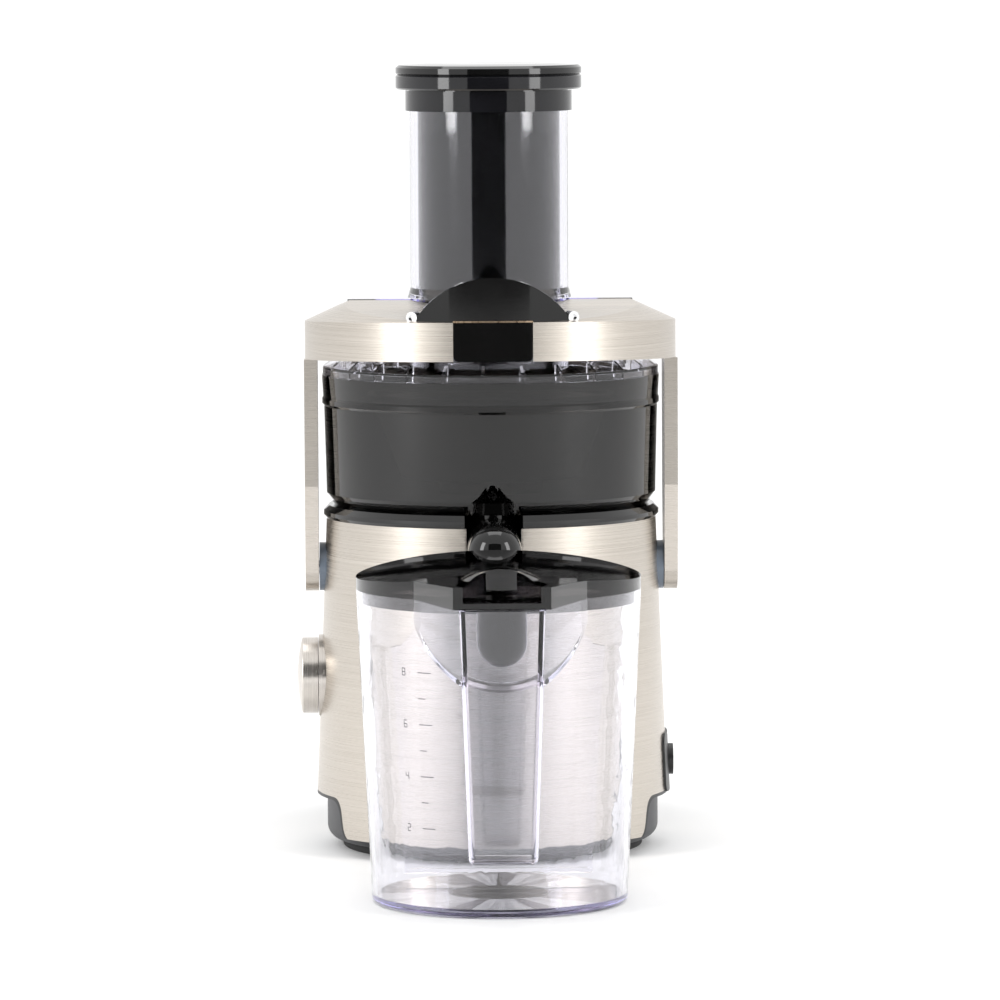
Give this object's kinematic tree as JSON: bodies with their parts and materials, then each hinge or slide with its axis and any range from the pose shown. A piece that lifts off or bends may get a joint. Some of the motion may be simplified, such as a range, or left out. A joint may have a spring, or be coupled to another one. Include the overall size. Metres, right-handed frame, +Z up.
{
  "type": "centrifugal juicer",
  "caption": "Upright centrifugal juicer with a wide clear feed chute, steel locking arm, smoked bowl, control knob, pulp container and a clear juice jug with lid and froth separator.",
  "frame": {"origin": "where the spindle axis meets the counter, at the underside of the foot ring", "axes": "+Z up; -Y towards the juice jug, +Y towards the pulp container; -X is the control knob side"},
  "size_m": [0.1954, 0.52, 0.401],
  "materials": {
    "brushed_steel": "fine horizontal brushing, satin",
    "gloss_black": "polished moulding",
    "matte_black": "fine moulded grain",
    "foot_grey": "fine moulded grain",
    "rubber_black": "soft matt rubber",
    "smoke_bowl": "translucent smoked polycarbonate, glossy",
    "smoke_lid": "dark smoked plastic, glossy",
    "clear_plastic": "clear plastic with a faint violet edge tint",
    "smoke_pusher": "dark smoked plastic, glossy",
    "blue_grey": "smooth satin plastic",
    "bright_steel": "turned bright steel",
    "core_steel": "stacked electrical steel",
    "copper": "enamelled winding wire",
    "bronze_line": "thin satin metal line",
    "carbon": "pressed carbon",
    "board_green": "coated board",
    "white_nylon": "moulded nylon",
    "basket_steel": "perforated sheet, bright"
  },
  "bodies": {
    "base": {"body_shell": "brushed_steel", "arch_trim": "matte_black", "base_pan": "foot_grey", "base_screws": "bright_steel", "foot_ring": "rubber_black", "inner_frame": "white_nylon", "speed_switch": "matte_black", "control_board": "board_green", "interlock_switch": "matte_black", "cord_inlet": "matte_black", "deck": "gloss_black", "notch_trim": "brushed_steel", "motor_bolts": "bright_steel", "motor_stator": "core_steel", "field_windings": "copper", "carbon_brushes": "carbon", "brush_holders": "bronze_line", "lower_bracket": "matte_black", "upper_bracket": "matte_black", "lower_bearing": "bright_steel", "upper_bearing": "bright_steel", "shaft_seal": "rubber_black", "juice_bowl": "smoke_bowl", "juice_spout": "gloss_black", "lid": "clear_plastic", "feed_chute": "clear_plastic", "knob_bezel": "brushed_steel", "pivot_pins": "bright_steel", "pivot_discs": "blue_grey"},
    "arm": {"arm_left": "brushed_steel", "arm_right": "brushed_steel", "arm_crossbar": "brushed_steel", "grip_block": "gloss_black", "grip_trim": "bronze_line", "grip_ears": "bright_steel", "grip_dome": "gloss_black"},
    "knob": {"control_knob": "brushed_steel", "knob_spindle": "bright_steel"},
    "spinner": {"motor_shaft": "bright_steel", "motor_rotor": "core_steel", "commutator": "copper", "motor_fan": "white_nylon", "drive_coupling": "matte_black", "basket_base": "matte_black", "filter_basket": "basket_steel", "basket_rim": "matte_black", "grater_disc": "bright_steel", "grater_hub": "bright_steel"},
    "pusher": {"pusher_body": "smoke_pusher", "pusher_cap": "gloss_black"},
    "jug": {"jug_body": "clear_plastic", "jug_handle": "clear_plastic"},
    "jug_cover": {"jug_lid": "smoke_lid", "froth_separator": "clear_plastic"},
    "pulp": {"pulp_container": "smoke_bowl"}
  },
  "joints": [
    {"name": "arm_swing", "type": "hinge", "parent": "base", "child": "arm", "pos_m": [0, 0, 0.1437], "axis": [1, 0, 0], "range_deg": [0, 35]},
    {"name": "knob_turn", "type": "hinge", "parent": "base", "child": "knob", "pos_m": [-0.0893, 0, 0.0875], "axis": [-1, 0, 0], "range_deg": [-40, 80]},
    {"name": "basket_spin", "type": "hinge", "parent": "base", "child": "spinner", "pos_m": [0, 0, 0.19], "axis": [0, 0, 1], "continuous": true},
    {"name": "pusher_lift", "type": "slide", "parent": "base", "child": "pusher", "axis": [0, 0, 1], "range_m": [0, 0.15]},
    {"name": "jug_slide", "type": "slide", "parent": "base", "child": "jug", "axis": [0, -1, 0], "range_m": [0, 0.15]},
    {"name": "jug_lid_lift", "type": "slide", "parent": "jug", "child": "jug_cover", "axis": [0, 0, 1], "range_m": [0, 0.14]},
    {"name": "pulp_slide", "type": "slide", "parent": "base", "child": "pulp", "axis": [0, 1, 0], "range_m": [0, 0.12]}
  ]
}
